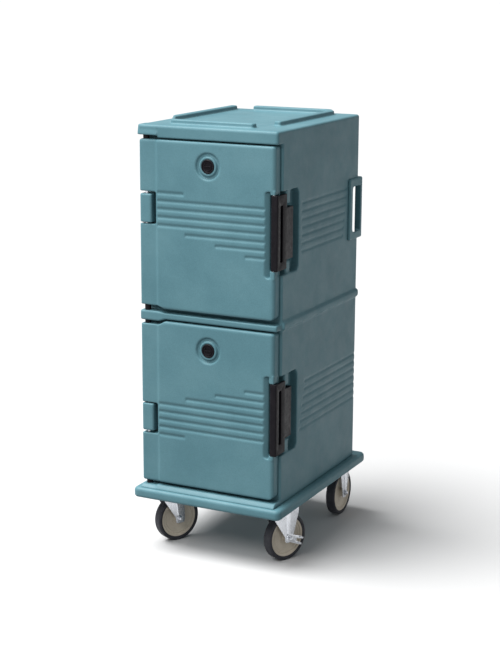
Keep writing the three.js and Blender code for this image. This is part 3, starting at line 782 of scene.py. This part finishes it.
# ---------------------------------------------------------------- latches, vents, grips, base
def latch(half):
    """Nylon lever: a hinge barrel, a side plate with a finger slot, and a hooked tongue."""
    z0, z1 = half.span(950, 1177)
    tongue0, tongue1 = half.span(977, 1135)
    slot0, slot1 = half.span(974, 1146)
    barrel = 8.7
    inner = 230
    outer = 238
    front = PIN_Y - barrel
    shoulder = -259
    back = PIN_Y + barrel
    plan = rounded([
        (PIN_X - 7, front, 6.5), (outer, front, 4), (outer, shoulder, 2), (inner, shoulder, 0),
        (inner, back, 2), (PIN_X - 7, back, 6),
    ])
    lever = solid(plan, "z", z0, z1, 1.5, 1.5)
    tongue = solid(rounded([
        (inner, shoulder - 6, 0), (outer - 0.6, shoulder - 6, 0), (outer - 0.6, -213, 4), (216, -213, 2),
        (216, -227, 2), (inner, -227, 1.5),
    ]), "z", tongue0, tongue1, 1.2, 1.2)
    join(lever, tongue)
    slot = solid(rectangle(-305, -287, slot0, slot1, 4), "x", inner - 8, outer + 3)
    waist = [solid(rectangle(PIN_X - 20, PIN_X - 4.5, level - 3, level + 3, 1), "y", front - 2, back + 2)
             for level in (z0 + 22, z1 - 22)]
    cut(lever, slot, *waist)
    bevel(lever, 0.7)
    return dress(lever, f"{half.name}_latch_lever", f"{half.name}_latch", NYLON, "black_nylon",
                 f"{half.name}_latch")


def vent_cap(half):
    """Round cap with a raised rim, a dished face with one raised ring, and a grip bar."""
    face = DOOR_FRONT - 1.5
    back = DOOR_FRONT + 4.6
    radius = 21.6
    profile = [
        (0.01, back), (radius - 0.8, back), (radius, back - 0.8), (radius, face + 1.6),
        (radius - 1.6, face), (radius - 3.4, face), (radius - 4.8, face + 2.4), (14.5, face + 3.2),
        (13.4, face + 1.6), (11.8, face + 1.6), (10.6, face + 3.4), (0.01, face + 3.8),
    ]
    cap = turned(profile, "y", (VENT_X, half.vent), 72)
    bar = solid(rectangle(VENT_X - 11, VENT_X + 11, half.vent - 1.8, half.vent + 1.8, 1.7), "y",
                face + 0.3, back - 1, 0.6, 0)
    shank = solid(circle((VENT_X, half.vent), 8.6, 32), "y", back - 1, DOOR_FRONT + 28)
    join(cap, bar, shank)
    smooth(cap, 30)
    return dress(cap, f"{half.name}_vent_knob", f"{half.name}_vent_cap", NYLON, "black_nylon",
                 f"{half.name}_vent_cap")


def grip(side, name):
    """A pad on the rear corner with a slotted hand bar."""
    outer = 244
    rear = 311
    pad = solid(rectangle(224, outer, 207, rear, (2, 5, 8, 2)), "z", 961, 1162, 5, 5)
    cut(pad, solid(rectangle(200, BODY_HALF + 0.3, 190, BODY_REAR + 0.3, (0, 0, 18, 0)), "z", 900, 1200))
    bar = solid(rectangle(222, outer, 293, rear, (5, 3, 8, 6)), "z", 981, 1140)
    join(pad, bar)
    cut(pad, solid(rectangle(229, 293, 985, 1136, (14, 7, 7, 9)), "x", 215, 260))
    mould(pad, 1.2, 3, 0.2)
    if side < 0:
        mirror_x(pad)
    return dress(pad, name + "_moulding", "cabinet", POLYETHYLENE, "cabinet_polyethylene", name)


def base():
    """The bumper: a thick bull-nosed tray, hollow underneath with stiffening ribs."""
    half_x = WIDTH / 2
    half_y = DEPTH / 2
    tray = solid(rectangle(-half_x, half_x, -half_y, half_y, 18), "z", 173, 206.7, 9, 12, steps=6)
    deck = 190.5
    rim = 14.5
    inside = solid(rectangle(-half_x + rim, half_x - rim, -half_y + rim, half_y - rim, 14), "z", 160, deck)
    cut(tray, inside)
    ribs = [block(x - 2.5, x + 2.5, -half_y + rim - 3, half_y - rim + 3, 180, deck + 2) for x in (-70, 0, 70)]
    ribs += [block(-120, 120, y - 2.5, y + 2.5, 180, deck + 2) for y in (-150, 0, 150)]
    join(tray, *ribs)
    mould(tray, 2.2, 3, 0.12)
    return dress(tray, "base_moulding", "cabinet", POLYETHYLENE, "cabinet_polyethylene", "base_bumper")


# ---------------------------------------------------------------- casters
def wheel_profile_tyre():
    """(radius, place along the axle) points of the tyre: straight sides, round shoulders, a flat tread."""
    shoulder = 5
    shoulder_centre = 10.4
    rounds = [(WHEEL_RADIUS - shoulder + shoulder * math.sin(math.radians(angle)),
               shoulder_centre + shoulder * math.cos(math.radians(angle))) for angle in (15, 35, 55, 75, 90)]
    far = [(radius, -along) for radius, along in reversed(rounds)]
    return ([(64.3, -13.5), (64.3, 13.5), (66, 14.6), (70, 16)] + rounds
            + [(WHEEL_RADIUS, 4), (WHEEL_RADIUS, 0), (WHEEL_RADIUS, -4)] + far + [(70, -16), (66, -14.6)])


def wheel_profile_core():
    """Hub, dished web with two mould rings, and a rim that carries the tyre."""
    bore = 5.4
    half_side = [
        (bore, 18), (13.4, 18), (14.6, 17), (15.4, 9.5), (17.2, 8), (24, 7.4), (25, 8.2), (27.2, 8.2),
        (28.2, 7.4), (46, 7.8), (48, 9.2), (50.5, 9.8), (52, 9.2), (55.5, 9.6), (57.5, 12.6),
        (60, 13.4), (63.2, 13.4), (63.9, 12.6),
    ]
    other = [(radius, -along) for radius, along in reversed(half_side)]
    return half_side + other


def caster_wheel(name, pose):
    body = f"{name}_wheel"
    centre = (0, WHEEL_RADIUS)
    tyre = pose(smooth(turned(wheel_profile_tyre(), "x", centre, 96), 40))
    dress(tyre, f"{name}_tread", body, TYRE, "tyre_rubber", f"{name}_tyre")
    core = pose(smooth(turned(wheel_profile_core(), "x", centre, 96), 30))
    dress(core, f"{name}_wheel_centre", body, WHEEL, "wheel_nylon", f"{name}_wheel_core")


def hexagon(centre, flats):
    return circle(centre, flats / 2 / math.cos(math.radians(30)), 6)


def axle(name, pose, body, nut_start):
    """Hex bolt, washers and lock nut through both legs."""
    centre = (0, WHEEL_RADIUS)
    head = -LEG_OUTER - 0.3
    bolt = solid(circle(centre, 4.9, 32), "x", head - 1, nut_start + 9, 0, 1)
    pieces = [
        solid(hexagon(centre, 14.6), "x", head - 6, head - 1.4, 1.2, 0),
        solid(circle(centre, 9.2, 40), "x", head - 1.5, head),
        solid(circle(centre, 9.2, 40), "x", nut_start, nut_start + 1.4),
        solid(hexagon(centre, 14.6), "x", nut_start + 1.3, nut_start + 6, 0, 1),
        solid(circle(centre, 6.3, 32), "x", nut_start + 5, nut_start + 7.6, 0, 1.2),
    ]
    join(bolt, *pieces)
    pose(bevel(bolt, 0.25, 1))
    dress(bolt, f"{name}_axle_hardware", body, ZINC, "zinc_steel", f"{name}_axle_bolt")


def leg_outline(centre_y, top, back, front, shoulder):
    """A fork leg from the side: wide at the crown, drawn in to a blunt rounded foot below the axle."""
    eye = LEG_EYE
    foot = WHEEL_RADIUS - eye * 0.92
    return rounded([
        (back, top, 0), (back, shoulder, 10), (centre_y - eye, WHEEL_RADIUS + 4, 14),
        (centre_y - eye, foot, 9), (centre_y + eye, foot, 9), (centre_y + eye, WHEEL_RADIUS + 4, 14),
        (front, shoulder, 10), (front, top, 0),
    ])


def leg_channel(centre_y, top, middle, half_width, side):
    """The pressed channel of a leg: proud of its outer face, from the crown to above the axle."""
    face = side * LEG_OUTER
    ends = sorted((face - side * 1.5, face + side * 2.2))
    foot = WHEEL_RADIUS + 11
    narrow = min(half_width, 10)
    points = [(middle - half_width, top - 5), (centre_y - narrow, foot), (centre_y + narrow, foot),
              (middle + half_width, top - 5)]
    low, high = (0, 1.8) if side > 0 else (1.8, 0)
    return solid(rounded([(u, v, 4) for u, v in points]), "x", *ends, low, high)


def legs(centre_y, top, back, front, shoulder, channel):
    outline = leg_outline(centre_y, top, back, front, shoulder)
    pair = [solid(outline, "x", *ends) for ends in ((-LEG_OUTER, -LEG_INNER), (LEG_INNER, LEG_OUTER))]
    channels = [leg_channel(centre_y, top, *channel, side) for side in (-1, 1)]
    return pair + channels


def swivel_fork(name, pose):
    crown_bottom = CROWN_TOP - 3.5
    front = LEG_FRONTS[name]
    crown = solid(circle((0, 0), 36, 64), "z", crown_bottom, CROWN_TOP, 0, 1.2)
    arms = solid(rectangle(-LEG_OUTER, LEG_OUTER, LEG_BACK, front, 4), "z", crown_bottom, CROWN_TOP, 0, 1.2)
    join(crown, arms, *legs(CASTER_TRAIL, CROWN_TOP - 1, LEG_BACK, front, 156, LEG_CHANNELS[name]))
    cut(crown, solid(circle((0, 0), 6.6, 32), "z", 150, 180))
    pose(bevel(crown, 0.6))
    dress(crown, f"{name}_fork_pressing", f"{name}_swivel", ZINC, "zinc_steel", f"{name}_fork")


def plate_shape():
    plate = solid(rectangle(-48, 48, -57, 57, 8), "z", PLATE_TOP - 4, PLATE_TOP, 0.8, 0)
    slots = [solid(rectangle(x - 6, x + 6, y - 4.6, y + 4.6, 4.4), "z", PLATE_TOP - 10, PLATE_TOP + 2)
             for x, y in PLATE_HOLES]
    return cut(plate, *slots)


def plate_bolts(name, pose):
    """Four hex-headed bolts with washers, up through the slots of a top plate."""
    under = PLATE_TOP - 4.2
    parts = []
    for hole in PLATE_HOLES:
        parts.append(solid(circle(hole, 8.5, 32), "z", under - 1.6, under))
        parts.append(solid(hexagon(hole, 11), "z", under - 6.5, under - 1.4, 0.8, 0))
        parts.append(solid(circle(hole, 3.4, 24), "z", under - 1, PLATE_TOP - 0.4))
    whole = parts[0]
    join(whole, *parts[1:])
    pose(bevel(whole, 0.25, 1))
    dress(whole, f"{name}_plate_bolts", "cabinet", ZINC, "zinc_steel")


def swivel_head(name, pose):
    """Top plate and the two rolled races of the swivel bearing. The kingpin stays a CAD node."""
    plate = plate_shape()
    cut(plate, solid(circle((0, 0), 6.6, 32), "z", PLATE_TOP - 10, PLATE_TOP + 2))
    pose(smooth(plate, 30))
    dress(plate, f"{name}_plate_pressing", "cabinet", ZINC, "zinc_steel", f"{name}_top_plate")
    top = PLATE_TOP - 4.3
    bottom = CROWN_TOP + 0.3
    middle = (top + bottom) / 2
    race = turned([
        (6.6, top), (33, top), (34, top - 1.4), (34, middle + 1), (31.5, middle + 0.5),
        (31.5, middle - 0.5), (33, middle - 1.2), (33, bottom + 1.2), (31.8, bottom), (6.6, bottom),
    ], "z", (0, 0), 72)
    pose(smooth(race, 30))
    dress(race, f"{name}_race_rings", "cabinet", ZINC, "zinc_steel", f"{name}_swivel_bearing")


def rigid_fork(name, pose):
    plate = plate_shape()
    join(plate, *legs(0, PLATE_TOP - 1, -38, 38, 160, (0, 9)))
    pose(bevel(plate, 0.6))
    dress(plate, f"{name}_rigid_pressing", "cabinet", ZINC, "zinc_steel", f"{name}_rigid_fork")


def brake(name, pose):
    """Y-shaped foot pedal on the axle: a hub plate with a collar, and two prongs with folded tips."""
    inner = LEG_OUTER + 0.4
    outer = inner + 2.8
    end = BRAKE_REACH
    centre = (0, WHEEL_RADIUS)
    crotch = end - 24
    level = [
        (-13, -12, 8), (10, -13, 9), (end - 6, -14, 3), (end, -6, 3), (crotch, -4.5, 3),
        (crotch, 4.5, 3), (end, 6, 3), (end - 6, 14, 3), (10, 13, 9), (-13, 12, 8),
    ]
    body = solid(rounded([(y, WHEEL_RADIUS + z, radius) for y, z, radius in level]), "x", inner, outer)
    tips = []
    for side in (-1, 1):
        z0, z1 = sorted((WHEEL_RADIUS + side * 6.4, WHEEL_RADIUS + side * 13))
        tips.append(solid(rectangle(end - 16, end - 1, z0, z1, 2.4), "x", inner + 0.6, outer + 5, 0, 1.2))
    collar = solid(circle(centre, 11.5, 40), "x", inner + 0.6, outer + 1.2, 0, 0.8)
    join(body, *tips, collar)
    cut(body, solid(circle(centre, 5.5, 32), "x", 20, 40))
    turn_x(body, -BRAKE_DROP, centre)
    pose(bevel(body, 0.5))
    dress(body, f"{name}_brake_pedal", f"{name}_brake", ZINC, "zinc_steel", f"{name}_brake_lever")


def mover(x, y, turn=0.0, trail=0.0):
    """Moves a solid made round the origin to a caster: back by its trail, turned, then out to its place."""
    matrix = (Matrix.Translation(Vector((x, y, 0)) * MM) @ Matrix.Rotation(math.radians(turn), 4, "Z")
              @ Matrix.Translation(Vector((0, trail, 0)) * MM))

    def pose(thing):
        thing.data.transform(matrix)
        return thing

    return pose


def casters():
    for name, x in (("front_left", -CASTER_X), ("front_right", CASTER_X)):
        turn = SWIVEL_TURNS[name]
        braked = name == "front_right"
        on_axle = mover(x, CASTER_FRONT, turn, CASTER_TRAIL)
        caster_wheel(name, on_axle)
        axle(name, on_axle, f"{name}_swivel", LEG_OUTER + (4.6 if braked else 0.3))
        swivel_fork(name, mover(x, CASTER_FRONT, turn))
        swivel_head(name, mover(x, CASTER_FRONT))
        plate_bolts(name, mover(x, CASTER_FRONT))
        if braked:
            brake(name, on_axle)
    for name, x in (("rear_left", -CASTER_X), ("rear_right", CASTER_X)):
        place = mover(x, CASTER_REAR)
        caster_wheel(name, place)
        axle(name, place, "cabinet", LEG_OUTER + 0.3)
        rigid_fork(name, place)
        plate_bolts(name, place)


# ---------------------------------------------------------------- studio
def aim(thing, direction):
    """Points a light along a direction that runs from its target back to it."""
    thing.rotation_mode = "QUATERNION"
    thing.rotation_quaternion = Vector(direction).to_track_quat("Z", "Y")
    bpy.context.scene.collection.objects.link(thing)


def studio():
    floor_half = 200  # metres, so its edge stays out of the photo's view
    data = bmesh.new()
    outline = rectangle(-floor_half, floor_half, -floor_half, floor_half)
    data.faces.new([data.verts.new((x, y, 0)) for x, y in outline])
    floor = add_object("studio_floor", data)
    pale = Shader("studio_floor", specular=0.1)
    floor.data.materials.append(pale.finish((0.49, 0.49, 0.49), 0.9))
    floor.visible_diffuse = False  # the cart takes its fill light from the world, not from the white floor
    world = bpy.data.worlds.new("studio")
    world.use_nodes = True
    sky = world.node_tree.nodes["Background"]
    sky.inputs["Color"].default_value = (0.96, 0.98, 1.0, 1)
    sky.inputs["Strength"].default_value = 0.39
    bpy.context.scene.world = world
    bpy.context.scene.view_settings.view_transform = "Standard"
    overhead = bpy.data.lights.new("overhead", "SUN")
    overhead.energy = 6.1
    overhead.angle = math.radians(40)
    aim(bpy.data.objects.new("overhead", overhead), (-0.4, -0.22, 1.0))
    key = bpy.data.lights.new("key", "AREA")
    key.energy = 60
    key.size = 1.3
    lamp = bpy.data.objects.new("key", key)
    lamp.location = (-0.3, -2.9, 2.7)
    target = Vector((0, 0, 0.95))
    aim(lamp, lamp.location - target)


def camera():
    azimuth = math.radians(26.642)
    elevation = math.radians(13.304)
    roll = math.radians(0.248)
    back = Vector((math.sin(azimuth) * math.cos(elevation), -math.cos(azimuth) * math.cos(elevation),
                   math.sin(elevation)))
    data = bpy.data.cameras.new("camera")
    data.lens = 85.56
    data.sensor_width = 36
    data.clip_end = 400
    eye = bpy.data.objects.new("camera", data)
    eye.location = Vector((2218.5, -4450.7, 1855.5)) * MM
    eye.rotation_mode = "QUATERNION"
    eye.rotation_quaternion = (-back).to_track_quat("-Z", "Y") @ Matrix.Rotation(roll, 3, "Z").to_quaternion()
    bpy.context.scene.collection.objects.link(eye)
    bpy.context.scene.camera = eye


# ---------------------------------------------------------------- the cart
camera()
studio()
dress_cad_nodes()
cabinet()
for compartment in HALVES:
    door(compartment)
    gasket(compartment)
    latch(compartment)
    vent_cap(compartment)
grip(-1, "left_handle")
grip(1, "right_handle")
base()
casters()
